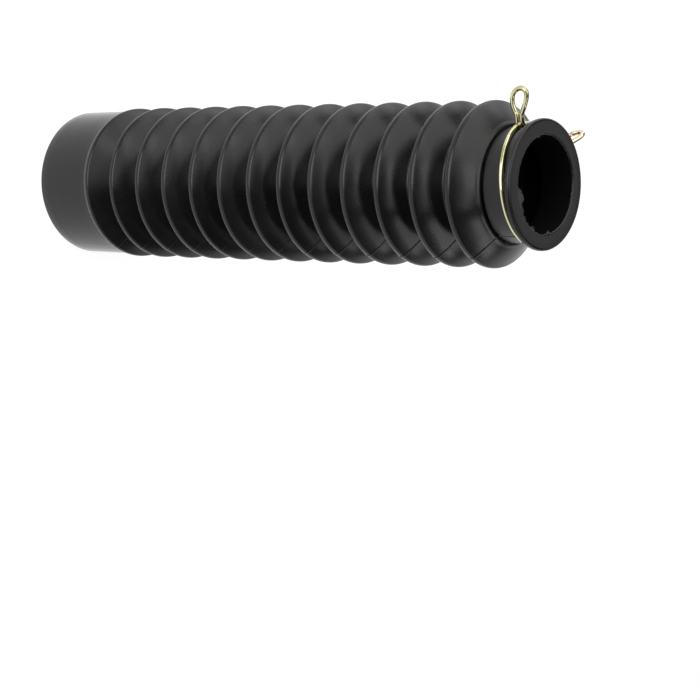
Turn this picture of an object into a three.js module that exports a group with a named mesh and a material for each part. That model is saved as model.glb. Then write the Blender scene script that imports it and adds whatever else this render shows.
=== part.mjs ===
// Fork gaiter: a rubber bellows with a wide cuff for the fork slider and a narrow neck for the
// fork tube, and a spring wire clip that closes the neck.
// Millimetres. The axis is +Z, the middle of the cuff's mouth is the origin, the neck is on top.

import * as THREE from 'three';
import { mergeVertices } from 'three/addons/utils/BufferGeometryUtils.js';

// One wall all over, as the rubber is moulded.
const wall = 2.2;
const edgeBevel = 0.5;

// The cuff fits over the fork slider.
const cuffBore = 59.6;
const cuffLength = 29.5;

// The folds. Crest sizes are outer diameters, and they shrink evenly towards the neck. The first
// fold stands a short straight run clear of the rounded step at the end of the cuff.
const foldCount = 13;
const foldPitch = 16.15;
const foldDepth = 9.2;
const firstCrestDiameter = 66;
const lastCrestDiameter = 61.6;
const crestRound = 1.6;
const valleyRound = 1.2;
const shoulderRound = 0.8;
const shoulderRun = 0.7;
const lastConeLength = 8.65;

// The neck grips the fork tube. A lip and a crease mark it off from the last cone.
const tubeBore = 35.5;
const neckWall = 3.5;
const neckLength = 13;
const gripLength = 13.5;
const gripEdgeRound = 1;
const lipHeight = 1.3;
const lipRound = 0.9;
const creaseDepth = 0.7;
const creaseRound = 0.5;
const flangeHeight = 2.5;
const flangeThickness = 2.4;

// The clip: its ring lies on the neck and leans away from the flange where its two squeeze
// eyes stand out. Heights of the eyes are counted outwards from the ring's wire.
const wireDiameter = 1.8;
const clipClearance = 0.3;
const strandGap = 0.3;
const ringLean = 5;
const eyeSpreadDegrees = 74;
const eyeWidth = 6;
const eyeSlantDegrees = 17;
const eyeLean = 1.8;
const eyeLegHeight = 4;
const legBendRadius = 2;

// How finely round shapes are cut into flats.
const turnFlats = 32;
const outerCrestPoints = 4;
const outerValleyPoints = 2;
const innerCrestPoints = 2;
const innerValleyPoints = 3;
const wireFlats = 8;
const ringStepDegrees = 12;
const bendFlats = 3;
const eyeFlats = 10;
const sharpestBend = 0.3;
const mergeDistance = 1e-4;

// Where a crest is sharper than the wall is thick, its inner bend stays at the sharpest size and
// moves in towards the axis, so that the flanks keep their wall.
const regularCrest = bend(-crestRound, 0, crestRound);
const regularValley = bend(valleyRound - foldDepth, foldPitch / 2, -valleyRound);
const innerCrestRound = Math.max(crestRound - wall, sharpestBend);
const crestInset = (innerCrestRound - (crestRound - wall))
  / Math.cos(flankAngle(regularCrest, regularValley));

// Heights and radii that follow from the sizes. The first crest stands clear of the shoulder of
// the cuff, on the outer and on the inner surface.
const cuffRadius = cuffBore / 2 + wall;
const shoulderCentre = cuffRadius + shoulderRound;
const shoulderAside = shoulderCentre - (firstCrestDiameter / 2 - crestRound);
const firstCrestHeight = cuffLength + shoulderRun + Math.max(
  rollingHeight(crestRound + shoulderRound, shoulderAside),
  rollingHeight(innerCrestRound + shoulderRound + wall, shoulderAside + crestInset),
);
const lastCrestHeight = firstCrestHeight + (foldCount - 1) * foldPitch;
const neckStart = lastCrestHeight + lastConeLength;
const totalHeight = neckStart + neckLength;
const boreRadius = tubeBore / 2;
const neckRadius = boreRadius + neckWall;
const flangeRadius = neckRadius + flangeHeight;
const flangeBack = totalHeight - flangeThickness;
const wireRadius = wireDiameter / 2;
const strandPitch = wireDiameter + strandGap;
const ringRadius = neckRadius + clipClearance + wireRadius;
const eyeSpread = THREE.MathUtils.degToRad(eyeSpreadDegrees);
const ringTurn = 2 * Math.PI + eyeSpread;
const legSpread = strandPitch / 2;
const eyeRound = eyeWidth / 2;
const eyeSlant = THREE.MathUtils.degToRad(eyeSlantDegrees);
const eyeSide = (eyeRound - legSpread * Math.cos(eyeSlant)) / Math.sin(eyeSlant);
const eyeCentre = eyeLegHeight + eyeSide;
const eyeHeight = eyeCentre + eyeRound;

// How far one circle's centre stands above another's when it rolls on it, that far to its side.
function rollingHeight(reach, aside) {
  return Math.sqrt(Math.max(reach ** 2 - aside ** 2, 0));
}

// A bend is a circle that the surface of the wall rolls round. Its size is positive where the
// surface bulges out, as at a crest, and negative where it dips in, as at a valley.
function bend(radius, height, size) {
  return { radius, height, size };
}

// Outer radius at a fold's crest. Halves stand for the valleys between the folds.
function radiusAtFold(fold) {
  const share = fold / Math.max(foldCount - 1, 1);
  return THREE.MathUtils.lerp(firstCrestDiameter, lastCrestDiameter, share) / 2;
}

// The outer bends of the folds, from the cuff's shoulder to the last crest.
function foldBends() {
  const bends = [bend(shoulderCentre, cuffLength, -shoulderRound)];
  for (let fold = 0; fold < foldCount; fold++) {
    const height = firstCrestHeight + fold * foldPitch;
    bends.push(bend(radiusAtFold(fold) - crestRound, height, crestRound));
    if (fold < foldCount - 1) {
      const valleyRadius = radiusAtFold(fold + 0.5) - foldDepth;
      bends.push(bend(valleyRadius + valleyRound, height + foldPitch / 2, -valleyRound));
    }
  }
  return bends;
}

// The lip at the foot of the last cone, and the crease between it and the neck.
function neckBends() {
  const lipCentre = neckStart - creaseRound - lipRound;
  const creaseBottom = neckRadius - creaseDepth;
  return [
    bend(neckRadius + lipHeight - lipRound, lipCentre, lipRound),
    bend(creaseBottom + creaseRound, neckStart, -creaseRound),
  ];
}

// The inner surface, one wall further in. It rolls round the same centres, apart from the
// crests', which may have moved in.
function innerBend(outer) {
  return outer.size > 0
    ? bend(outer.radius - crestInset, outer.height, innerCrestRound)
    : bend(outer.radius, outer.height, outer.size - wall);
}

// Angle of the outward normal on the straight flank between two bends.
function flankAngle(from, to) {
  const across = to.radius - from.radius;
  const along = to.height - from.height;
  const opening = Math.acos((from.size - to.size) / Math.hypot(across, along));
  return Math.atan2(along, across) - opening;
}

// Points of the surface round one bend, from the normal of one flank to that of the next.
function bendPoints(item, startAngle, endAngle, count) {
  return Array.from({ length: count }, (unused, i) => {
    const angle = THREE.MathUtils.lerp(startAngle, endAngle, i / (count - 1));
    const radius = item.radius + item.size * Math.cos(angle);
    return new THREE.Vector2(radius, item.height + item.size * Math.sin(angle));
  });
}

// Follows a chain of bends upwards. What comes before the first and after the last is parallel
// to the axis.
function followBends(bends, crestCount, valleyCount) {
  return bends.flatMap((item, i) => {
    const startAngle = i > 0 ? flankAngle(bends[i - 1], item) : 0;
    const endAngle = i < bends.length - 1 ? flankAngle(item, bends[i + 1]) : 0;
    return bendPoints(item, startAngle, endAngle, item.size > 0 ? crestCount : valleyCount);
  });
}

// The neck above its crease, the flange and the start of the bore.
function neckOutline() {
  return [
    [neckRadius, neckStart + creaseRound + creaseDepth],
    [neckRadius, flangeBack],
    [flangeRadius - edgeBevel, flangeBack],
    [flangeRadius, flangeBack + edgeBevel],
    [flangeRadius, totalHeight - edgeBevel],
    [flangeRadius - edgeBevel, totalHeight],
    [boreRadius + edgeBevel, totalHeight],
    [boreRadius, totalHeight - edgeBevel],
  ].map(([radius, height]) => new THREE.Vector2(radius, height));
}

// The cuff's mouth, from its bore to its outside.
function mouthOutline() {
  return [
    [cuffBore / 2, edgeBevel],
    [cuffBore / 2 + edgeBevel, 0],
    [cuffRadius - edgeBevel, 0],
    [cuffRadius, edgeBevel],
  ].map(([radius, height]) => new THREE.Vector2(radius, height));
}

// The whole section of the rubber wall: up the outside, over the flange and down the inside.
function bellowsOutline() {
  const folds = foldBends();
  const gripEdge = bend(boreRadius + gripEdgeRound, totalHeight - gripLength, -gripEdgeRound);
  const outerBends = [...folds, ...neckBends()];
  const innerBends = [...folds.map(innerBend), gripEdge];
  const outside = followBends(outerBends, outerCrestPoints, outerValleyPoints);
  const inside = followBends(innerBends, innerCrestPoints, innerValleyPoints).reverse();
  return [...mouthOutline(), ...outside, ...neckOutline(), ...inside];
}

function makeBellows() {
  const outline = bellowsOutline();
  const geometry = new THREE.LatheGeometry([...outline, outline[0]], turnFlats);
  return closedGeometry(geometry.rotateX(Math.PI / 2));
}

// A point on the clip. Its turn is counted from the first eye, along the ring.
function clipPoint(radius, turn, height) {
  const angle = eyeSpread / 2 - turn;
  return new THREE.Vector3(radius * Math.cos(angle), radius * Math.sin(angle), height);
}

// Height of the ring's wire after a turn. It touches the flange opposite the eyes, leans away
// from it near them, and sinks like a spiral, so that its two strands there lie side by side.
function ringHeight(turn) {
  const touching = flangeBack - clipClearance - wireRadius;
  const spiral = strandPitch * (turn - Math.PI) / (2 * Math.PI);
  const lean = ringLean * Math.cos((eyeSpread / 2 - turn) / 2) ** 4;
  return touching - spiral - lean;
}

// Half of an eye: up one leg, along its straight side and round to the top. Each point gives
// the height above the ring and the distance from the eye's middle line.
function halfEye() {
  const half = eyeFlats / 2;
  const arc = Array.from({ length: half + 1 }, (unused, i) => {
    const angle = (Math.PI / 2 + eyeSlant) * (1 - i / half);
    return [eyeCentre + eyeRound * Math.cos(angle), eyeRound * Math.sin(angle)];
  });
  return [[(legBendRadius + eyeLegHeight) / 2, legSpread], [eyeLegHeight, legSpread], ...arc];
}

// One squeeze eye, from its leg on the ring to its cut end, which stops over the other strand.
function eyePoints(turn, towards) {
  const half = halfEye();
  const up = half.map(([rise, off]) => [rise, -off]);
  const down = half.slice(1, -1).reverse();
  const end = [wireRadius + clipClearance, legSpread];
  return [...up, ...down, end].map(([rise, off]) => {
    const lean = eyeLean * (rise / eyeHeight) ** 2;
    const height = ringHeight(turn) + towards * (legSpread + off) + lean;
    return clipPoint(ringRadius + rise, turn, height);
  });
}

// The bend between the ring and an eye's leg, from the leg down to the ring.
function legBend(eyeTurn, side) {
  const centreRadius = Math.sqrt((ringRadius + legBendRadius) ** 2 - legBendRadius ** 2);
  const reach = Math.atan2(centreRadius, legBendRadius);
  return Array.from({ length: bendFlats + 1 }, (unused, i) => {
    const swing = reach * i / bendFlats;
    const out = centreRadius - legBendRadius * Math.sin(swing);
    const over = legBendRadius * (1 - Math.cos(swing));
    const turn = eyeTurn + side * Math.atan2(over, out);
    return clipPoint(Math.hypot(out, over), turn, ringHeight(turn));
  });
}

// The whole wire: the first eye, more than a full turn of ring, and the second eye.
function clipPoints() {
  const bendTurn = Math.asin(legBendRadius / (ringRadius + legBendRadius));
  const steps = Math.round(THREE.MathUtils.radToDeg(ringTurn) / ringStepDegrees);
  const ring = Array.from({ length: steps - 1 }, (unused, i) => {
    const turn = THREE.MathUtils.lerp(bendTurn, ringTurn - bendTurn, (i + 1) / steps);
    return clipPoint(ringRadius, turn, ringHeight(turn));
  });
  return [
    ...eyePoints(0, -1).reverse(),
    ...legBend(0, 1),
    ...ring,
    ...legBend(ringTurn, -1).reverse(),
    ...eyePoints(ringTurn, 1),
  ];
}

// A smooth curve that is cut at its own points, which lie closer where the wire bends.
class WireCurve extends THREE.CatmullRomCurve3 {
  getUtoTmapping(u) {
    return u;
  }
}

function makeClip() {
  const points = clipPoints();
  const section = new THREE.Shape(Array.from({ length: wireFlats }, (unused, i) => {
    const angle = 2 * Math.PI * i / wireFlats;
    return new THREE.Vector2(wireRadius * Math.cos(angle), wireRadius * Math.sin(angle));
  }));
  return closedGeometry(new THREE.ExtrudeGeometry(section, {
    steps: points.length - 1,
    extrudePath: new WireCurve(points),
  }));
}

// Joins the corners that neighbouring faces share, so that the surface is one closed skin.
function closedGeometry(geometry) {
  geometry.deleteAttribute('normal');
  geometry.deleteAttribute('uv');
  const closed = mergeVertices(geometry, mergeDistance);
  closed.computeVertexNormals();
  return closed;
}

function namedMesh(name, geometry, material) {
  const mesh = new THREE.Mesh(geometry, material);
  mesh.name = name;
  return mesh;
}

const rubber = new THREE.MeshStandardMaterial({ color: 0x1c1c1d, roughness: 0.55, metalness: 0 });
const springWire = new THREE.MeshStandardMaterial({
  color: 0xc9bd80,
  roughness: 0.25,
  metalness: 1,
});

const gaiter = new THREE.Group();
gaiter.name = 'fork_gaiter';
gaiter.add(namedMesh('bellows', makeBellows(), rubber));
gaiter.add(namedMesh('neck_clip', makeClip(), springWire));

export default gaiter;
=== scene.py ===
# %% [markdown]
# A fork gaiter is a rubber bellows that keeps dirt off a motorcycle's front fork. Its wide cuff
# sits over the lower fork leg, its narrow neck grips the fork tube, and a wire clip closes the
# neck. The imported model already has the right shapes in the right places, so it is loaded first
# and everything else in this lesson is measured against it.

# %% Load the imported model
import math

import bpy
from mathutils import Matrix, Vector


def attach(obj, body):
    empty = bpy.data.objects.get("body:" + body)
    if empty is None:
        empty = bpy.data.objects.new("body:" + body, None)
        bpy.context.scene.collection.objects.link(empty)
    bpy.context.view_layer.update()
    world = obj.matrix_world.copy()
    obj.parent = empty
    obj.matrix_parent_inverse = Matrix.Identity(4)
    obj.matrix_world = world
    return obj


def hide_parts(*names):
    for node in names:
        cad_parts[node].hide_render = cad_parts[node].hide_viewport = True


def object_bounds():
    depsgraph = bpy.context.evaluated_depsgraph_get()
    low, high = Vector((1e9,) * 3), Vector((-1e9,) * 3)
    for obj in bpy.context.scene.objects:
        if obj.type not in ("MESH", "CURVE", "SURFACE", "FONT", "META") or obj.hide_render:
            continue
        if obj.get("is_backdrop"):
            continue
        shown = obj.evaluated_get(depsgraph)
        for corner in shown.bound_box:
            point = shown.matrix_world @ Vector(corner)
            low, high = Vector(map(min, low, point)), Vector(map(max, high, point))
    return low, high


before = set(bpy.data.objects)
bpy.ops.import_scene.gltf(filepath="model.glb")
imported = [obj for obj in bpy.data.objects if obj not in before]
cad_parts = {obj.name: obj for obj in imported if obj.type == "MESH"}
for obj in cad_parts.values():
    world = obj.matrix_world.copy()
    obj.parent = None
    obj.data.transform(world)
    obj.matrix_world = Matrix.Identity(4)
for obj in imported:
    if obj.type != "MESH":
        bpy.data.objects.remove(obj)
packed_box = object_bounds()
scene = bpy.context.scene
scene.view_settings.view_transform = "Standard"
print("Nodes of the packed model:", sorted(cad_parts))
print("Its height in mm:", round((packed_box[1].z - packed_box[0].z) * 1000, 1))

# %% [markdown]
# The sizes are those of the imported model, now in metres. A bend is a circle that the surface
# rolls round: its radius from the axis, its height, and its own size, which is negative where
# the surface dips in. One wall thickness runs through the whole moulding, so the inner surface
# rolls round the same circles with every size made smaller by the wall.

# %% Sizes of the bellows
mm = 0.001
wall = 2.2 * mm
cuff_radius = 32 * mm
cuff_length = 29.5 * mm
fold_count = 13
fold_pitch = 16.15 * mm
fold_depth = 9.2 * mm
first_crest_radius = 33 * mm
last_crest_radius = 30.8 * mm
first_crest_height = 32.149 * mm
last_crest_height = first_crest_height + (fold_count - 1) * fold_pitch
crest_round = 1.6 * mm
valley_round = 1.2 * mm
shoulder_round = 0.8 * mm
neck_start = 234.6 * mm
neck_top = 247.6 * mm
neck_radius = 21.25 * mm
bore_radius = 17.75 * mm
flange_radius = 23.75 * mm
flange_back = 245.2 * mm
grip_start = 234.1 * mm
edge_round = 0.5 * mm
sharp_round = 0.3 * mm
crests = (first_crest_height, last_crest_height)
print("Folds:", fold_count, "with crests from and to, in mm:", [round(z / mm, 1) for z in crests])

# %% [markdown]
# The section of the wall is easiest to draw with sharp corners first, and to round afterwards.
# A corner is the point where the straight flanks on both sides of a bend would meet. These few
# lines of plain geometry find it for any bend, outside or inside.

# %% Corners from bends
def flank_angle(lower, upper):
    """Angle of the outward normal on the straight flank between two bends."""
    across = upper[0] - lower[0]
    along = upper[1] - lower[1]
    opening = math.acos((lower[2] - upper[2]) / math.hypot(across, along))
    return math.atan2(along, across) - opening


def corner(bend, before, after):
    """The sharp corner that a bend rounds off, between flanks with these normals."""
    radius, height, size = bend
    middle = (before + after) / 2
    reach = size / math.cos((after - before) / 2)
    place = (radius + reach * math.cos(middle), height + reach * math.sin(middle))
    return (*place, abs(size))


def inner_size(size):
    """Rounding of a bend one wall further in. Where the wall is thicker, it stays sharp."""
    return max(size - wall, sharp_round) if size > 0 else wall - size


def inner_corner(bend, before, after):
    """The corner of the same bend on the inner surface."""
    radius, height, size = bend
    return (*corner((radius, height, size - wall), before, after)[:2], inner_size(size))


fold_flank = flank_angle(
    (-crest_round, 0, crest_round),
    (valley_round - fold_depth, fold_pitch / 2, -valley_round),
)
print("Normals of the flanks lean", round(math.degrees(fold_flank), 1), "degrees to the axis")

# %% [markdown]
# The folds repeat by a rule, so Geometry Nodes draw them. The same small helpers build every
# node tree in this lesson: one adds a node and fills or links its sockets, one does sums.

# %% Helpers for node trees
def plug(tree, value, socket):
    """Links another socket to this one, or sets its value."""
    if isinstance(value, bpy.types.NodeSocket):
        tree.links.new(value, socket)
    else:
        socket.default_value = value


def add(tree, kind, values=None, **settings):
    """Adds a node, with its settings and its sockets filled by name or number."""
    node = tree.nodes.new(kind)
    for name, setting in settings.items():
        setattr(node, name, setting)
    for key, value in (values or {}).items():
        plug(tree, value, node.inputs[key])
    return node


def sum_of(tree, operation, *terms):
    """One step of arithmetic between sockets and numbers."""
    node = add(tree, "ShaderNodeMath", operation=operation)
    for term, socket in zip(terms, node.inputs):
        plug(tree, term, socket)
    return node.outputs[0]


def smooth_range(tree, value, low, high, to_low, to_high):
    """Turns a range of values softly into another one."""
    wanted = {0: value, 1: low, 2: high, 3: to_low, 4: to_high}
    node = add(tree, "ShaderNodeMapRange", wanted, interpolation_type="SMOOTHSTEP")
    return node.outputs[0]


socket_kinds = {
    int: "NodeSocketInt",
    float: "NodeSocketFloat",
    "geometry": "NodeSocketGeometry",
    "material": "NodeSocketMaterial",
}


def geometry_tree(name, inputs):
    """Starts a Geometry Nodes tree with named inputs. Returns it, its inputs and its end."""
    tree = bpy.data.node_groups.new(name, "GeometryNodeTree")
    for label, kind in inputs.items():
        tree.interface.new_socket(label, in_out="INPUT", socket_type=socket_kinds[kind])
    tree.interface.new_socket("Geometry", in_out="OUTPUT", socket_type="NodeSocketGeometry")
    start = tree.nodes.new("NodeGroupInput")
    end = tree.nodes.new("NodeGroupOutput")
    return tree, start.outputs, end.inputs[0]


def store(tree, geometry, name, value):
    """Keeps a number on every point, under a name."""
    values = {"Geometry": geometry, "Name": name, "Value": value}
    return add(tree, "GeometryNodeStoreNamedAttribute", values).outputs[0]


def recall(tree, name):
    """Reads a number that was kept on the points."""
    return add(tree, "GeometryNodeInputNamedAttribute", {"Name": name}).outputs[0]


print("Node helpers are ready")

# %% [markdown]
# One surface of the folds is a zigzag line in the plane of the section: x is the distance from
# the axis and y the height. Four points make one fold: a valley, the middle of a flank, a crest
# and the next flank's middle. A cosine of the place in the fold is 1 at the crests, -1 at the
# valleys and 0 between them, so one formula gives the radius and another the rounding.

# %% The zigzag of the folds
def make_fold_line():
    """The tree that draws one zigzag, between the valleys next to both end crests."""
    inputs = {"Folds": int, "Pitch": float, "First Height": float, "First Radius": float}
    inputs |= {"Last Radius": float, "Crest Corner": float, "Valley Corner": float}
    inputs |= {"Crest Round": float, "Valley Round": float}
    tree, given, end = geometry_tree("fold line", inputs)
    points = sum_of(tree, "MULTIPLY_ADD", given["Folds"], 4.0, -7.0)
    line = add(tree, "GeometryNodeMeshLine", {"Count": points})
    index = add(tree, "GeometryNodeInputIndex").outputs[0]
    fold = sum_of(tree, "MULTIPLY_ADD", index, 0.25, 0.5)
    wave = sum_of(tree, "COSINE", sum_of(tree, "MULTIPLY", fold, 2 * math.pi))
    share = sum_of(tree, "DIVIDE", fold, sum_of(tree, "SUBTRACT", given["Folds"], 1.0))
    taper = sum_of(tree, "SUBTRACT", given["Last Radius"], given["First Radius"])
    crest = sum_of(tree, "MULTIPLY_ADD", share, taper, given["First Radius"])
    reach = sum_of(tree, "ADD", given["Crest Corner"], given["Valley Corner"])
    middle = sum_of(tree, "SUBTRACT", given["Crest Corner"], given["Valley Corner"])
    swing = sum_of(tree, "MULTIPLY_ADD", wave, reach, middle)
    radius = sum_of(tree, "MULTIPLY_ADD", swing, 0.5, crest)
    height = sum_of(tree, "MULTIPLY_ADD", fold, given["Pitch"], given["First Height"])
    place = add(tree, "ShaderNodeCombineXYZ", {"X": radius, "Y": height}).outputs[0]
    placed = add(tree, "GeometryNodeSetPosition", {"Geometry": line.outputs[0], "Position": place})
    at_crest = sum_of(tree, "GREATER_THAN", wave, 0.5)
    at_valley = sum_of(tree, "LESS_THAN", wave, -0.5)
    rounding = sum_of(tree, "MULTIPLY", at_valley, given["Valley Round"])
    rounding = sum_of(tree, "MULTIPLY_ADD", at_crest, given["Crest Round"], rounding)
    plug(tree, store(tree, placed.outputs[0], "round", rounding), end)
    return tree


fold_line = make_fold_line()
print("Made the tree", fold_line.name, "with", len(fold_line.nodes), "nodes")

# %% [markdown]
# The ends don't repeat, so they are listed corner by corner, each with its distance from the
# axis, its height and its rounding. The mouth's chain runs from the first inner valley round
# the cuff's open end to the first outer valley. Long straight runs get points in between, so
# that the finished wall has something to bend with.

# %% Corners of both ends
def crest_radius(fold):
    """The crests get narrower from the cuff to the neck, in equal steps."""
    share = fold / (fold_count - 1)
    return first_crest_radius + share * (last_crest_radius - first_crest_radius)


def valley_corner(fold, size):
    """The corner of a regular valley, as the fold line places it."""
    dip = valley_round - fold_depth + size / math.cos(fold_flank)
    return (crest_radius(fold) + dip, first_crest_height + fold * fold_pitch, abs(size))


def straight(start, end, pieces):
    """Points between two corners, with no rounding of their own."""
    shares = [(i + 1) / pieces for i in range(pieces - 1)]
    across, along = end[0] - start[0], end[1] - start[1]
    return [(start[0] + t * across, start[1] + t * along, 0.0) for t in shares]


shoulder = (cuff_radius + shoulder_round, cuff_length, -shoulder_round)
first_crest = (first_crest_radius - crest_round, first_crest_height, crest_round)
last_crest = (last_crest_radius - crest_round, last_crest_height, crest_round)
lip = (neck_radius + 0.3 * mm, neck_start - 1.3 * mm, 0.8 * mm)
grip_edge = (bore_radius + 1 * mm, grip_start, -1 * mm)
shoulder_flank = flank_angle(shoulder, first_crest)
lip_flank = flank_angle(last_crest, lip)
last_inner_crest = (last_crest[0], last_crest[1], crest_round - wall)
cone_flank = flank_angle(last_inner_crest, grip_edge)

mouth_inner = (cuff_radius - wall, 0, edge_round)
mouth_outer = (cuff_radius, 0, edge_round)
outer_shoulder = corner(shoulder, 0, shoulder_flank)
inner_shoulder = inner_corner(shoulder, 0, shoulder_flank)
mouth_chain = [
    valley_corner(0.5, -valley_round - wall),
    inner_corner(first_crest, shoulder_flank, fold_flank),
    inner_shoulder,
    *straight(inner_shoulder, mouth_inner, 6),
    mouth_inner,
    mouth_outer,
    *straight(mouth_outer, outer_shoulder, 6),
    outer_shoulder,
    corner(first_crest, shoulder_flank, fold_flank),
    valley_corner(0.5, -valley_round),
]
print("Corners round the mouth:", len(mouth_chain))

# %% [markdown]
# The neck's chain goes on over the last crest, the lip, the crease and the flange, and down the
# bore. The crease is a small sharp groove, and a shallow hollow in the cone before it leaves a
# soft lip. The flange that keeps the clip from slipping off has softened edges. On the real
# moulding a skin of surplus rubber is left where the mould closed on the bore's edge, so one
# corner there is marked as flash.

# %% Corners of the neck
hollow = (neck_radius + 1.84 * mm, neck_start - 1.95 * mm, 1.3 * mm)
crease = (neck_radius - 1.1 * mm, neck_start - 1.1 * mm, 0.1 * mm)
neck_foot = (neck_radius, neck_start + 0.3 * mm, 0.5 * mm)
flange_foot = (neck_radius, flange_back, 0.6 * mm)
flange_edge = (flange_radius, flange_back, 0.8 * mm)
flange_rim = (flange_radius, neck_top, 1.0 * mm)
bore_rim = (bore_radius + 0.5 * mm, neck_top, 0.2 * mm)
flash_tip = (bore_radius, neck_top - 0.25 * mm, 0)
bore_top = (bore_radius, neck_top - 0.8 * mm, 0)
grip_corner = corner(grip_edge, cone_flank, 0)
neck_chain = [
    valley_corner(fold_count - 1.5, -valley_round),
    corner(last_crest, -fold_flank, lip_flank),
    hollow,
    corner(lip, lip_flank, math.pi / 2),
    crease,
    neck_foot,
    *straight(neck_foot, flange_foot, 4),
    flange_foot,
    flange_edge,
    flange_rim,
    bore_rim,
    flash_tip,
    bore_top,
    *straight(bore_top, grip_corner, 5),
    grip_corner,
    inner_corner(last_crest, -fold_flank, cone_flank),
    valley_corner(fold_count - 1.5, -valley_round - wall),
]
print("Corners round the neck:", len(neck_chain))


def chain_mesh():
    """Both chains as one mesh of edges, with their rounding and marks on the points.

    The mark "outside" is for the mould lines, and "face" for the smooth side of the rubber.
    """
    points = mouth_chain + neck_chain
    split = len(mouth_chain)
    edges = [(i, i + 1) for i in range(len(points) - 1) if i + 1 != split]
    mesh = bpy.data.meshes.new("wall section")
    mesh.from_pydata([(x, y, 0) for x, y, size in points], edges, [])
    outside = range(points.index(mouth_outer), points.index(flange_rim))
    face = range(points.index(mouth_inner), points.index(flash_tip) + 1)
    marks = {
        "round": [size for x, y, size in points],
        "outside": [float(i in outside) for i in range(len(points))],
        "face": [float(i in face) for i in range(len(points))],
        "flash": [float(point is flash_tip) for point in points],
    }
    for name, values in marks.items():
        mesh.attributes.new(name, "FLOAT", "POINT").data.foreach_set("value", values)
    return mesh


# %% [markdown]
# The whole wall is one tree. It joins both zigzags to the ends, turns the closed outline into a
# curve and rounds its corners. A circle swept with that outline gives the grid of a ring, and
# then every point is put where it belongs: its angle comes from its place on the circle, its
# radius and height from its place on the outline. The columns crowd together at the two lines
# where the halves of the mould met, so that the thin ridges there can be real geometry.

# %% The section, rounded
def joined_section(tree, given):
    """The closed outline of the wall, as a curve with rounded corners."""
    def zigzag(depth, crest_size, valley_size, outside):
        line = add(tree, "GeometryNodeGroup", node_tree=fold_line)
        for name in ("Folds", "Pitch", "First Height", "First Radius", "Last Radius"):
            plug(tree, given[name], line.inputs[name])
        slope = 1 / math.cos(fold_flank)
        sizes = {"Crest Corner": (crest_round - depth) * slope - crest_round}
        middle = fold_depth - valley_round
        sizes |= {"Valley Corner": middle + (valley_round + depth) * slope}
        sizes |= {"Crest Round": crest_size, "Valley Round": valley_size}
        for name, size in sizes.items():
            line.inputs[name].default_value = size
        line = store(tree, line.outputs[0], "outside", outside)
        return store(tree, line, "face", outside)

    outer = zigzag(0, crest_round, valley_round, 1.0)
    inner = zigzag(wall, inner_size(crest_round), inner_size(-valley_round), 0.0)
    join = add(tree, "GeometryNodeJoinGeometry")
    for part in (given["Geometry"], outer, inner):
        tree.links.new(part, join.inputs[0])
    merge = add(tree, "GeometryNodeMergeByDistance", {0: join.outputs[0], "Distance": 1e-5})
    curve = add(tree, "GeometryNodeMeshToCurve", {0: merge.outputs[0]})
    size = recall(tree, "round")
    steps = sum_of(tree, "MULTIPLY_ADD", size, given["Steps per Metre"], 2.0)
    values = {"Curve": curve.outputs[0], "Radius": size, "Count": steps, "Limit Radius": True}
    return add(tree, "GeometryNodeFilletCurve", values, mode="POLY").outputs[0]


print("The section closes the chains with two zigzags")

# %% [markdown]
# Curve to Mesh sweeps the outline round a circle, but it doesn't place it as needed here: the
# grid it makes is only used for its faces. Before the sweep each outline point stores its
# radius and height, and each circle point its share of the turn. Afterwards every point of the
# grid knows all three, and Set Position puts it there.

# %% The ring of the wall
def swept_ring(tree, given, section):
    """Sweeps the section round the axis and puts every point in its place."""
    where = add(tree, "GeometryNodeInputPosition").outputs[0]
    parts = add(tree, "ShaderNodeSeparateXYZ", {0: where}).outputs
    section = store(tree, section, "reach", parts["X"])
    section = store(tree, section, "rise", parts["Y"])
    circle = add(tree, "GeometryNodeCurvePrimitiveCircle", {"Resolution": given["Columns"]})
    index = add(tree, "GeometryNodeInputIndex").outputs[0]
    turn = sum_of(tree, "DIVIDE", index, given["Columns"])
    rail = store(tree, circle.outputs[0], "turn", turn)
    grid = add(tree, "GeometryNodeCurveToMesh", {"Curve": rail, "Profile Curve": section})
    full = sum_of(tree, "MULTIPLY", recall(tree, "turn"), 2 * math.pi)
    # The sine of twice the turn draws the columns together at both mould lines.
    crowd = sum_of(tree, "SINE", sum_of(tree, "MULTIPLY", full, 2.0))
    crowd = sum_of(tree, "MULTIPLY", crowd, sum_of(tree, "MULTIPLY", given["Crowding"], -0.5))
    from_seam = sum_of(tree, "ADD", full, crowd)
    angle = sum_of(tree, "ADD", from_seam, given["Seam Angle"])
    reach = recall(tree, "reach")
    x = sum_of(tree, "MULTIPLY", reach, sum_of(tree, "COSINE", angle))
    y = sum_of(tree, "MULTIPLY", reach, sum_of(tree, "SINE", angle))
    place = add(tree, "ShaderNodeCombineXYZ", {"X": x, "Y": y, "Z": recall(tree, "rise")})
    values = {"Geometry": grid.outputs[0], "Position": place.outputs[0]}
    ring = add(tree, "GeometryNodeSetPosition", values).outputs[0]
    return store(tree, ring, "angle", angle)


print("The ring is swept round the axis")

# %% [markdown]
# Small irregularities make it read as moulded rubber: flanks that bow out a little, a raised
# thread of rubber along both mould lines, walls that are never perfectly true, and torn flash
# on the bore's edge. All of them move points of the finished ring, by a fraction of a
# millimetre except for the flash. The inner surface bows the same way as the outer one, so the
# wall keeps its thickness. The mould line is clearest towards the neck, and both it and the
# unevenness fade out at the mouth, so that the cuff stands flat.

# %% Mould lines, waves and flash
mouth_fade = 6 * mm
faint_share = 0.3
faint_below = 120 * mm
clear_above = 220 * mm
wave_scale = 26.0
fringe_scale = 420.0
fringe_length = 0.9 * mm
tag_core = 0.35
# Each tag of flash has its angle and half its width in degrees, and its length in millimetres.
flash_tags = [(118, 5, 2.2), (127, 9, 2.9), (139, 9, 1.2), (172, 6, 1.0), (-154, 5, 1.3)]


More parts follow.
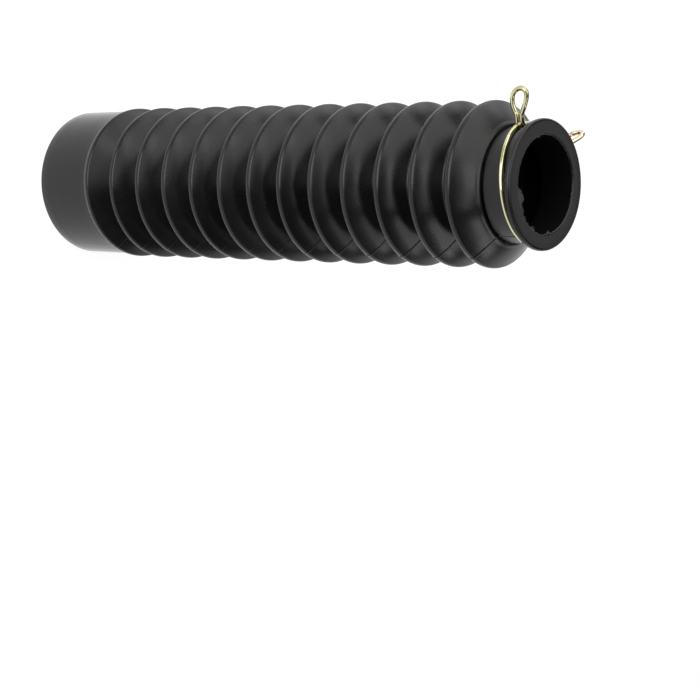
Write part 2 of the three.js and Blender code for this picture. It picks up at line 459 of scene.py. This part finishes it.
def along_normal(tree, geometry, distance):
    """Moves points outwards along the surface normal."""
    normal = add(tree, "GeometryNodeInputNormal").outputs[0]
    push = add(tree, "ShaderNodeVectorMath", {0: normal, "Scale": distance}, operation="SCALE")
    values = {"Geometry": geometry, "Offset": push.outputs[0]}
    return add(tree, "GeometryNodeSetPosition", values).outputs[0]


def above_mouth(tree):
    """Rises from 0 to 1 over the first millimetres of the cuff."""
    return smooth_range(tree, recall(tree, "rise"), 0.0, mouth_fade, 0.0, 1.0)


def mould_lines(tree, given, ring):
    """Raises a thin thread on two opposite sides of the outer surface."""
    from_seam = sum_of(tree, "SUBTRACT", recall(tree, "angle"), given["Seam Angle"])
    away = sum_of(tree, "ABSOLUTE", sum_of(tree, "SINE", from_seam))
    away = sum_of(tree, "MULTIPLY", away, recall(tree, "reach"))
    ridge = smooth_range(tree, away, 0.0, given["Seam Width"], given["Seam Height"], 0.0)
    rise = recall(tree, "rise")
    clear = smooth_range(tree, rise, faint_below, clear_above, faint_share, 1.0)
    ridge = sum_of(tree, "MULTIPLY", ridge, sum_of(tree, "MULTIPLY", clear, above_mouth(tree)))
    return along_normal(tree, ring, sum_of(tree, "MULTIPLY", ridge, recall(tree, "outside")))


def bowed(tree, given, ring):
    """Lets the flanks bow out between crests and valleys, up to the end of the last cone."""
    from_crest = sum_of(tree, "SUBTRACT", recall(tree, "rise"), given["First Height"])
    fold = sum_of(tree, "DIVIDE", from_crest, given["Pitch"])
    wave = sum_of(tree, "SINE", sum_of(tree, "MULTIPLY", fold, 2 * math.pi))
    bow = sum_of(tree, "MULTIPLY", sum_of(tree, "ABSOLUTE", wave), given["Bow"])
    sign = sum_of(tree, "MULTIPLY_ADD", recall(tree, "face"), 2.0, -1.0)
    side = sum_of(tree, "MULTIPLY", bow, sign)
    last = sum_of(tree, "SUBTRACT", given["Folds"], 0.5)
    started = sum_of(tree, "GREATER_THAN", fold, 0.0)
    within = sum_of(tree, "MULTIPLY", started, sum_of(tree, "LESS_THAN", fold, last))
    return along_normal(tree, ring, sum_of(tree, "MULTIPLY", side, within))


def uneven(tree, given, ring):
    """Soft waves over the whole wall."""
    values = {"Scale": wave_scale, "Detail": 2.0, "Roughness": 0.5}
    noise = add(tree, "ShaderNodeTexNoise", values)
    swell = sum_of(tree, "SUBTRACT", noise.outputs[0], 0.5)
    swell = sum_of(tree, "MULTIPLY", swell, given["Unevenness"])
    return along_normal(tree, ring, sum_of(tree, "MULTIPLY", swell, above_mouth(tree)))


def flash(tree, ring):
    """Pulls the marked corner of the bore's edge inwards, in tags and a ragged fringe."""
    angle = recall(tree, "angle")
    values = {"Scale": fringe_scale, "Detail": 3.0, "Roughness": 0.6}
    noise = add(tree, "ShaderNodeTexNoise", values)
    ragged = smooth_range(tree, noise.outputs[0], 0.5, 0.75, 0.0, fringe_length)
    for middle, half_width, length in flash_tags:
        turned = sum_of(tree, "SUBTRACT", angle, math.radians(middle))
        away = sum_of(tree, "ARCCOSINE", sum_of(tree, "COSINE", turned))
        span = math.radians(half_width)
        tag = smooth_range(tree, away, span * tag_core, span, length * mm, 0.0)
        ragged = sum_of(tree, "MAXIMUM", ragged, tag)
    inwards = sum_of(tree, "MULTIPLY", ragged, recall(tree, "flash"))
    keep = sum_of(tree, "DIVIDE", inwards, -bore_radius)
    where = add(tree, "GeometryNodeInputPosition").outputs[0]
    flat = {0: where, 1: (1.0, 1.0, 0.0)}
    radial = add(tree, "ShaderNodeVectorMath", flat, operation="MULTIPLY").outputs[0]
    push = add(tree, "ShaderNodeVectorMath", {0: radial, "Scale": keep}, operation="SCALE")
    values = {"Geometry": ring, "Offset": push.outputs[0]}
    return add(tree, "GeometryNodeSetPosition", values).outputs[0]


def painted(tree, geometry, material, where=True):
    """Gives the geometry a material, or only the faces where a test holds."""
    values = {"Geometry": geometry, "Selection": where, "Material": material}
    return add(tree, "GeometryNodeSetMaterial", values).outputs[0]


def finished(tree, geometry):
    """Every tree ends like this: smooth shading, and no instances left."""
    smooth = add(tree, "GeometryNodeSetShadeSmooth", {"Geometry": geometry}).outputs[0]
    return add(tree, "GeometryNodeRealizeInstances", {0: smooth}).outputs[0]


def make_wall_tree():
    """The tree of the whole bellows."""
    inputs = {"Geometry": "geometry", "Folds": int, "Pitch": float, "First Height": float}
    inputs |= {"First Radius": float, "Last Radius": float, "Steps per Metre": float}
    inputs |= {"Columns": int, "Seam Angle": float, "Crowding": float, "Seam Width": float}
    inputs |= {"Seam Height": float, "Unevenness": float, "Bow": float}
    inputs |= {"Rubber": "material", "Painted Dark Inside": "material"}
    tree, given, end = geometry_tree("moulded wall", inputs)
    ring = swept_ring(tree, given, joined_section(tree, given))
    ring = bowed(tree, given, ring)
    ring = mould_lines(tree, given, ring)
    ring = uneven(tree, given, ring)
    ring = painted(tree, flash(tree, ring), given["Rubber"])
    # Faces inside the wall get the darker material, which is painted shade.
    inside = sum_of(tree, "LESS_THAN", recall(tree, "face"), 0.5)
    ring = painted(tree, ring, given["Painted Dark Inside"], inside)
    plug(tree, finished(tree, ring), end)
    return tree


wall_tree = make_wall_tree()
print("Made the tree", wall_tree.name, "with", len(wall_tree.nodes), "nodes")

# %% [markdown]
# The rubber is almost black, and what the eye reads is its soft sheen. A moulded surface is a
# little uneven in gloss, has a fine grain, and shows a faint grey bloom where wax has come to
# the surface. The plain cuff came out of a smoother part of the mould, so it is glossier than
# the folds. Object coordinates keep these patterns the same size everywhere. The inside was
# moulded on a blasted steel core, so it is matt. It is also given a darker colour and a weaker
# reflection than the outside, as painted shade, so that it looks quite black.

# %% Rubber
cuff_polish = 0.55
polish_ends = (26 * mm, 34 * mm)
speck_share = 0.35


def noise_of(tree, coordinates, scale, detail, seed):
    """A noise from 0 to 1. Its features are about one metre over the scale wide."""
    values = {"Vector": coordinates, "Scale": scale, "Detail": detail, "W": seed}
    return add(tree, "ShaderNodeTexNoise", values, noise_dimensions="4D").outputs[0]


def blend_colours(tree, share, first, second):
    """Mixes two colours by a share from 0 to 1."""
    node = add(tree, "ShaderNodeMix", {"Factor": share}, data_type="RGBA")
    for colour, socket in ((first, node.inputs[6]), (second, node.inputs[7])):
        plug(tree, colour, socket)
    return node.outputs[2]


def bumped(tree, height, distance, strength, below=None):
    """Turns a pattern into fine relief, on top of another relief if there is one."""
    values = {"Height": height, "Distance": distance, "Strength": strength}
    node = add(tree, "ShaderNodeBump", values)
    if below is not None:
        tree.links.new(below, node.inputs["Normal"])
    return node.outputs[0]


def new_material(name):
    """A new material, its node tree and its surface shader."""
    material = bpy.data.materials.new(name)
    material.use_nodes = True
    tree = material.node_tree
    return material, tree, tree.nodes["Principled BSDF"]


def make_rubber():
    """Almost black rubber with bloom, specks and a fine grain, and a glossier cuff."""
    material, tree, surface = new_material("moulded rubber")
    here = add(tree, "ShaderNodeTexCoord").outputs["Object"]
    patches = noise_of(tree, here, scale=38.0, detail=5.0, seed=1.0)
    bloom = smooth_range(tree, patches, 0.42, 0.72, 0.0, 1.0)
    specks = noise_of(tree, here, scale=1500.0, detail=2.0, seed=2.0)
    specks = smooth_range(tree, specks, 0.62, 0.74, 0.0, speck_share)
    black = (0.004, 0.0039, 0.0041, 1.0)
    grey = (0.008, 0.0078, 0.0082, 1.0)
    dust = (0.04, 0.039, 0.038, 1.0)
    colour = blend_colours(tree, bloom, black, grey)
    colour = blend_colours(tree, specks, colour, dust)
    plug(tree, colour, surface.inputs["Base Color"])
    gloss = smooth_range(tree, patches, 0.3, 0.7, 0.21, 0.28)
    fine = noise_of(tree, here, scale=700.0, detail=3.0, seed=3.0)
    gloss = sum_of(tree, "MULTIPLY_ADD", fine, 0.06, gloss)
    height = add(tree, "ShaderNodeSeparateXYZ", {0: here}).outputs["Z"]
    polish = smooth_range(tree, height, *polish_ends, cuff_polish, 1.0)
    plug(tree, sum_of(tree, "MULTIPLY", gloss, polish), surface.inputs["Roughness"])
    grain = noise_of(tree, here, scale=2600.0, detail=2.0, seed=4.0)
    grain = bumped(tree, grain, distance=0.02 * mm, strength=0.4)
    flow = noise_of(tree, here, scale=170.0, detail=3.0, seed=5.0)
    flow = bumped(tree, flow, distance=0.1 * mm, strength=0.5, below=grain)
    plug(tree, flow, surface.inputs["Normal"])
    surface.inputs["IOR"].default_value = 1.41
    return material


def make_painted_dark_inside():
    """The same rubber where the core left it matt, darker and less shiny as painted shade."""
    material, tree, surface = new_material("matt rubber inside with painted shade")
    here = add(tree, "ShaderNodeTexCoord").outputs["Object"]
    patches = noise_of(tree, here, scale=90.0, detail=4.0, seed=21.0)
    # These colours are darker than the outside's, as painted shade for the inside.
    black = (0.0015, 0.0015, 0.0016, 1.0)
    grey = (0.003, 0.003, 0.003, 1.0)
    plug(tree, blend_colours(tree, patches, black, grey), surface.inputs["Base Color"])
    plug(tree, smooth_range(tree, patches, 0.3, 0.7, 0.7, 0.85), surface.inputs["Roughness"])
    blasted = noise_of(tree, here, scale=1400.0, detail=3.0, seed=22.0)
    relief = bumped(tree, blasted, distance=0.05 * mm, strength=0.6)
    plug(tree, relief, surface.inputs["Normal"])
    # The weak specular level dims reflections inside, also as painted shade.
    surface.inputs["Specular IOR Level"].default_value = 0.08
    return material


rubber = make_rubber()
painted_dark_inside = make_painted_dark_inside()
print("Made the materials", rubber.name, "and", painted_dark_inside.name)

# %% [markdown]
# A modifier runs the tree on the section. Its inputs are set through the sockets' identifiers
# before anything is evaluated. Then the result is taken as a plain mesh in a new object, which
# carries no modifier and sits at the origin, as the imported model's own parts do.

# %% The bellows
def run_tree(name, data, tree, values):
    """Runs a tree on some data and returns its result as a new plain object."""
    source = bpy.data.objects.new(name + " source", data)
    scene.collection.objects.link(source)
    modifier = source.modifiers.new(name, "NODES")
    modifier.node_group = tree
    for item in tree.interface.items_tree:
        if item.in_out == "INPUT" and item.name in values:
            modifier[item.identifier] = values[item.name]
    evaluated = source.evaluated_get(bpy.context.evaluated_depsgraph_get())
    mesh = bpy.data.meshes.new_from_object(evaluated)
    bpy.data.objects.remove(source)
    mesh.name = name
    piece = bpy.data.objects.new(name, mesh)
    scene.collection.objects.link(piece)
    return piece


def volume_of(mesh):
    """Signed volume in cubic metres. It is positive where the faces point outwards."""
    mesh.calc_loop_triangles()
    spots = [vertex.co for vertex in mesh.vertices]
    corners = (triangle.vertices for triangle in mesh.loop_triangles)
    return sum(spots[a].dot(spots[b].cross(spots[c])) for a, b, c in corners) / 6


bellows = run_tree(
    "rubber_bellows",
    chain_mesh(),
    wall_tree,
    {
        "Folds": fold_count,
        "Pitch": fold_pitch,
        "First Height": first_crest_height,
        "First Radius": first_crest_radius,
        "Last Radius": last_crest_radius,
        "Steps per Metre": 2000.0,
        "Columns": 200,
        "Seam Angle": math.radians(170),
        "Crowding": 0.8,
        "Seam Width": 0.4 * mm,
        "Seam Height": 0.24 * mm,
        "Unevenness": 0.3 * mm,
        "Bow": 0.35 * mm,
        "Rubber": rubber,
        "Painted Dark Inside": painted_dark_inside,
    },
)
print("Volume in cubic cm:", round(volume_of(bellows.data) * 1e6, 1))
print("Bellows:", len(bellows.data.loop_triangles), "triangles")
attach(bellows, "root")
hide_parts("bellows")

# %% [markdown]
# The clip is one length of spring wire. It makes more than a full turn round the neck, and each
# end rises into a squeeze eye: two legs side by side that open into an oval loop. The points
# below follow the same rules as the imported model's clip, only closer together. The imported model
# keeps a gap between its solids. Here the ring presses into the rubber and rests on the flange.

# %% The path of the wire
wire_radius = 0.9 * mm
clip_gap = 0.3 * mm
strand_pitch = 2.1 * mm
leg_spread = strand_pitch / 2
pressed_in = 0.25 * mm
ring_radius = neck_radius + wire_radius - pressed_in
ring_lean = 5 * mm
ring_steps = 90
eye_spread = math.radians(74)
ring_turn = 2 * math.pi + eye_spread
eye_round = 3 * mm
eye_leg = 4.2 * mm
eye_centre = 10.6 * mm
eye_height = eye_centre + eye_round
eye_lean = 2.6 * mm
eye_steps = 12
leg_bend_radius = 2 * mm
leg_bend_steps = 5


def clip_point(radius, turn, height):
    """A point on the clip. Its turn is counted from the first eye, along the ring."""
    angle = eye_spread / 2 - turn
    return Vector((radius * math.cos(angle), radius * math.sin(angle), height))


def ring_height(turn):
    """The ring touches the flange opposite the eyes and leans away from it near them."""
    touching = flange_back - wire_radius
    spiral = strand_pitch * (turn - math.pi) / (2 * math.pi)
    return touching - spiral - ring_lean * math.cos((eye_spread / 2 - turn) / 2) ** 4


def half_eye():
    """Half of an eye, as heights above the ring and distances from its middle line."""
    leg = [((leg_bend_radius + eye_leg) / 2, leg_spread)]
    rise, widening = eye_centre - eye_leg, eye_round - leg_spread
    quarter = [math.pi / 2 * i / eye_steps for i in range(eye_steps + 1)]
    opening = [
        (eye_leg + i / eye_steps * rise, leg_spread + math.sin(angle) * widening)
        for i, angle in enumerate(quarter)
    ]
    arc = [(eye_centre + eye_round * math.sin(a), eye_round * math.cos(a)) for a in quarter]
    return leg + opening + arc[1:]


def eye_points(turn, towards):
    """One eye, from its leg on the ring to its cut end over the other strand."""
    half = half_eye()
    outline = [(rise, -off) for rise, off in half]
    outline += half[-2:0:-1]
    outline.append((wire_radius + clip_gap, leg_spread))
    points = []
    for rise, off in outline:
        lean = eye_lean * (rise / eye_height) ** 2
        height = ring_height(turn) + towards * (leg_spread + off) + lean
        points.append(clip_point(ring_radius + rise, turn, height))
    return points


def leg_bend(eye_turn, side):
    """The bend between an eye's leg and the ring."""
    centre = math.sqrt((ring_radius + leg_bend_radius) ** 2 - leg_bend_radius ** 2)
    points = []
    for i in range(leg_bend_steps + 1):
        swing = math.atan2(centre, leg_bend_radius) * i / leg_bend_steps
        out = centre - leg_bend_radius * math.sin(swing)
        over = leg_bend_radius * (1 - math.cos(swing))
        turn = eye_turn + side * math.atan2(over, out)
        points.append(clip_point(math.hypot(out, over), turn, ring_height(turn)))
    return points


def clip_points():
    """The whole wire, from one cut end to the other."""
    bend_turn = math.asin(leg_bend_radius / (ring_radius + leg_bend_radius))
    free_turn = ring_turn - 2 * bend_turn
    turns = [bend_turn + free_turn * (i + 1) / ring_steps for i in range(ring_steps - 1)]
    ring = [clip_point(ring_radius, turn, ring_height(turn)) for turn in turns]
    first = eye_points(0, -1)[::-1] + leg_bend(0, 1)
    second = leg_bend(ring_turn, -1)[::-1] + eye_points(ring_turn, 1)
    return first + ring + second


wire_path = clip_points()
wire_length = sum((b - a).length for a, b in zip(wire_path, wire_path[1:]))
print("The wire is", round(wire_length / mm), "mm long in", len(wire_path), "points")

# %% [markdown]
# A second, short tree turns the path into wire. It runs a smooth curve through the points,
# thins both ends a little where the cutter pinched them, and sweeps a round section along it.

# %% The clip's tree
def make_wire_tree():
    """The tree that turns a path into wire."""
    inputs = {"Geometry": "geometry", "Wire Radius": float, "Sides": int, "Steps": int}
    inputs |= {"Cut End": float, "Material": "material"}
    tree, given, end = geometry_tree("bent wire", inputs)
    smooth = {"Curve": given["Geometry"]}
    curve = add(tree, "GeometryNodeCurveSplineType", smooth, spline_type="CATMULL_ROM")
    values = {"Geometry": curve.outputs[0], "Resolution": given["Steps"]}
    curve = add(tree, "GeometryNodeSetSplineResolution", values)
    curve = add(tree, "GeometryNodeResampleCurve", {"Curve": curve.outputs[0]})
    curve.mode = "EVALUATED"
    ends = add(tree, "GeometryNodeCurveEndpointSelection").outputs[0]
    pinch = sum_of(tree, "SUBTRACT", 1.0, given["Cut End"])
    thick = sum_of(tree, "MULTIPLY_ADD", ends, sum_of(tree, "MULTIPLY", pinch, -1.0), 1.0)
    values = {"Curve": curve.outputs[0], "Radius": thick}
    curve = add(tree, "GeometryNodeSetCurveRadius", values)
    values = {"Resolution": given["Sides"], "Radius": given["Wire Radius"]}
    circle = add(tree, "GeometryNodeCurvePrimitiveCircle", values)
    values = {"Curve": curve.outputs[0], "Profile Curve": circle.outputs[0], "Fill Caps": True}
    wire = add(tree, "GeometryNodeCurveToMesh", values)
    wire = painted(tree, wire.outputs[0], given["Material"])
    plug(tree, finished(tree, wire), end)
    return tree


wire_tree = make_wire_tree()
print("Made the tree", wire_tree.name, "with", len(wire_tree.nodes), "nodes")

# %% [markdown]
# The wire is zinc plated and passivated. That thin film shines in pale yellow and turns to
# olive green from place to place, and to pink towards the second eye. Under it are the fine
# marks of drawn wire.

# %% Plated spring wire
film_share = 0.8
pink_lean = -8.0


def make_plated_wire():
    """Pale yellow metal with patches of olive and pink, and fine drawing marks."""
    material, tree, surface = new_material("plated spring wire")
    here = add(tree, "ShaderNodeTexCoord").outputs["Object"]
    film = noise_of(tree, here, scale=90.0, detail=1.0, seed=7.0)
    yellow = (0.66, 0.63, 0.39, 1.0)
    olive = (0.32, 0.33, 0.14, 1.0)
    pink = (0.74, 0.56, 0.46, 1.0)
    greenish = smooth_range(tree, film, 0.5, 0.66, 0.0, film_share)
    colour = blend_colours(tree, greenish, yellow, olive)
    side = add(tree, "ShaderNodeSeparateXYZ", {0: here}).outputs["Y"]
    blush = noise_of(tree, here, scale=90.0, detail=2.0, seed=9.0)
    blush = sum_of(tree, "MULTIPLY_ADD", side, pink_lean, blush)
    blush = smooth_range(tree, blush, 0.5, 0.62, 0.0, film_share)
    plug(tree, blend_colours(tree, blush, colour, pink), surface.inputs["Base Color"])
    dull = noise_of(tree, here, scale=700.0, detail=2.0, seed=11.0)
    plug(tree, smooth_range(tree, dull, 0.35, 0.7, 0.09, 0.17), surface.inputs["Roughness"])
    drawn = noise_of(tree, here, scale=900.0, detail=2.0, seed=13.0)
    relief = bumped(tree, drawn, distance=0.006 * mm, strength=0.3)
    plug(tree, relief, surface.inputs["Normal"])
    surface.inputs["Metallic"].default_value = 1.0
    return material


plated_wire = make_plated_wire()
print("Made the material", plated_wire.name)

# %% [markdown]
# The path goes into a plain curve object, the tree runs on it, and the clip takes the place of
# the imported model's. Its volume is printed as a check that the wire's faces point outwards.

# %% The clip
def path_curve(points):
    """The points as a curve that the tree can smooth."""
    curve = bpy.data.curves.new("wire path", "CURVE")
    curve.dimensions = "3D"
    spline = curve.splines.new("POLY")
    spline.points.add(len(points) - 1)
    for point, place in zip(spline.points, points):
        point.co = (*place, 1)
    return curve


clip = run_tree(
    "wire_clip",
    path_curve(wire_path),
    wire_tree,
    {
        "Wire Radius": wire_radius,
        "Sides": 16,
        "Steps": 3,
        "Cut End": 0.8,
        "Material": plated_wire,
    },
)
print("Clip volume in cubic cm:", round(volume_of(clip.data) * 1e6, 3))
print("Clip:", len(clip.data.loop_triangles), "triangles")
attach(clip, "root")
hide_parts("neck_clip")

# %% [markdown]
# The gaiter stands on its cuff on a plain white floor, inside a low white backdrop. Both look
# white to the camera and in reflections, and still take the object's shadow, because what is
# seen of them is part glow and part lit surface. The room above is dim, as in a studio, since
# black rubber is drawn by the contrast between the lamps and what lies between them.

# %% Floor and sky
def make_floor_finish():
    """White where it is seen or mirrored, and plain where it only passes light on."""
    material, tree, surface = new_material("white studio")
    tree.nodes.remove(surface)
    path = add(tree, "ShaderNodeLightPath").outputs
    seen = sum_of(tree, "MAXIMUM", path["Is Camera Ray"], path["Is Glossy Ray"])
    seen = sum_of(tree, "MAXIMUM", seen, path["Is Transmission Ray"])
    plain = add(tree, "ShaderNodeBsdfDiffuse", {"Color": (0.8, 0.8, 0.8, 1.0)})
    lit = add(tree, "ShaderNodeBsdfDiffuse", {"Color": (0.22, 0.22, 0.22, 1.0)})
    glow = add(tree, "ShaderNodeEmission", {"Color": (1.0, 1.0, 1.0, 1.0), "Strength": 0.92})
    white = add(tree, "ShaderNodeAddShader", {0: lit.outputs[0], 1: glow.outputs[0]})
    both = {0: seen, 1: plain.outputs[0], 2: white.outputs[0]}
    mixed = add(tree, "ShaderNodeMixShader", both)
    end = tree.nodes["Material Output"]
    tree.links.new(mixed.outputs[0], end.inputs["Surface"])
    return material


def make_floor(radius, wall_height, sides):
    """A round floor with a low wall at its rim, as one mesh."""
    turns = [2 * math.pi * i / sides for i in range(sides)]
    rim = [(radius * math.cos(turn), radius * math.sin(turn)) for turn in turns]
    corners = [(x, y, 0) for x, y in rim] + [(x, y, wall_height) for x, y in rim]
    backdrop = [(i, i + sides, (i + 1) % sides + sides, (i + 1) % sides) for i in range(sides)]
    mesh = bpy.data.meshes.new("floor")
    mesh.from_pydata(corners, [], [tuple(range(sides)), *backdrop])
    mesh.materials.append(make_floor_finish())
    piece = bpy.data.objects.new("floor", mesh)
    scene.collection.objects.link(piece)
    return piece


def make_sky(level):
    """An even dim sky, for the light that comes from everywhere."""
    world = bpy.data.worlds.new("studio")
    world.use_nodes = True
    background = world.node_tree.nodes["Background"]
    background.inputs["Color"].default_value = (1.0, 1.0, 1.0, 1.0)
    background.inputs["Strength"].default_value = level
    scene.world = world


floor = make_floor(radius=6.0, wall_height=1.5, sides=64)
floor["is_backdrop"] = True
make_sky(level=0.08)
print("Floor and backdrop are white to the camera")

# %% [markdown]
# The light comes from large soft lamps, because a black object is drawn by what it mirrors. A
# wide key hangs over the image's upper side and lights the flanks, a low lamp beside it lights
# their upper ends. The front lamp and the window, both behind the camera, draw the crests. One
# lamp at the far end is mirrored in the flange, and two small ones near the neck in its cone.

# %% Lamps
def soft_lamp(name, place, target, width, height, power, along=(0.0, 0.0, 1.0)):
    """A soft box that faces its target. Its height runs in the direction of along."""
    light = bpy.data.lights.new(name, "AREA")
    light.shape = "RECTANGLE"
    light.size = width
    light.size_y = height
    light.energy = power
    lamp = bpy.data.objects.new(name, light)
    lamp.location = place
    back = (Vector(place) - Vector(target)).normalized()
    side = Vector(along).cross(back).normalized()
    turned = Matrix((side, back.cross(side), back)).transposed()
    lamp.rotation_mode = "QUATERNION"
    lamp.rotation_quaternion = turned.to_quaternion()
    scene.collection.objects.link(lamp)


middle = (0.0, 0.0, 0.12)
cone = (-0.02, 0.01, 0.23)
# Each lamp's name, place and target, its width and height in metres, and its power in watts.
soft_lamp("key", (0.54, 0.22, 1.06), middle, 1.05, 1.7, 10.5)
soft_lamp("side", (1.35, -0.1, 0.4), middle, 1.0, 0.6, 2.8)
soft_lamp("front", (0.2, 0.84, 0.82), middle, 1.3, 0.36, 2.1)
soft_lamp("window", (-0.04, 1.25, 0.36), middle, 1.0, 0.55, 7.0)
soft_lamp("far end", (0.3, -0.8, 0.95), middle, 0.5, 0.5, 0.5)
soft_lamp("cone side", (-0.275, -0.165, 0.48), cone, 0.06, 0.4, 0.26, along=(-0.15, -0.33, 0.0))
soft_lamp("cone top", (-0.055, 0.12, 0.48), cone, 0.05, 0.24, 0.08, along=(-0.19, -0.07, 0.0))

# %% [markdown]
# The photograph looks down on the neck, with the gaiter's axis running across the picture. The
# camera's place and turn were worked out from the outlines of the rings, so the view matches
# without any shift or change of lens.

# %% Camera
camera_place = (-0.1536, 0.43135, 0.5461)
focal_length = 77.35


def make_camera():
    """Turns the camera by the directions that are right, down and ahead in its picture."""
    right = Vector((0.22305, -0.61005, 0.76032))
    down = Vector((-0.96317, -0.25807, 0.07549))
    ahead = Vector((0.15017, -0.74916, -0.64514))
    data = bpy.data.cameras.new("camera")
    data.lens = focal_length
    data.sensor_width = 36.0
    camera = bpy.data.objects.new("camera", data)
    turned = Matrix((right, -down, -ahead)).transposed().to_4x4()
    camera.matrix_world = Matrix.Translation(camera_place) @ turned
    scene.collection.objects.link(camera)
    scene.camera = camera
    return camera


camera = make_camera()
print("Camera at", [round(value, 3) for value in camera.location])

# %% [markdown]
# Last, the dressed model's box is printed next to the imported model's, to see that the finish
# has not changed the size.

# %% Finish
boxes = {"cad": packed_box, "visual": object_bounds()}
for name, (low, high) in boxes.items():
    print("Size of the", name, "model in mm:", [round(side / mm, 1) for side in high - low])
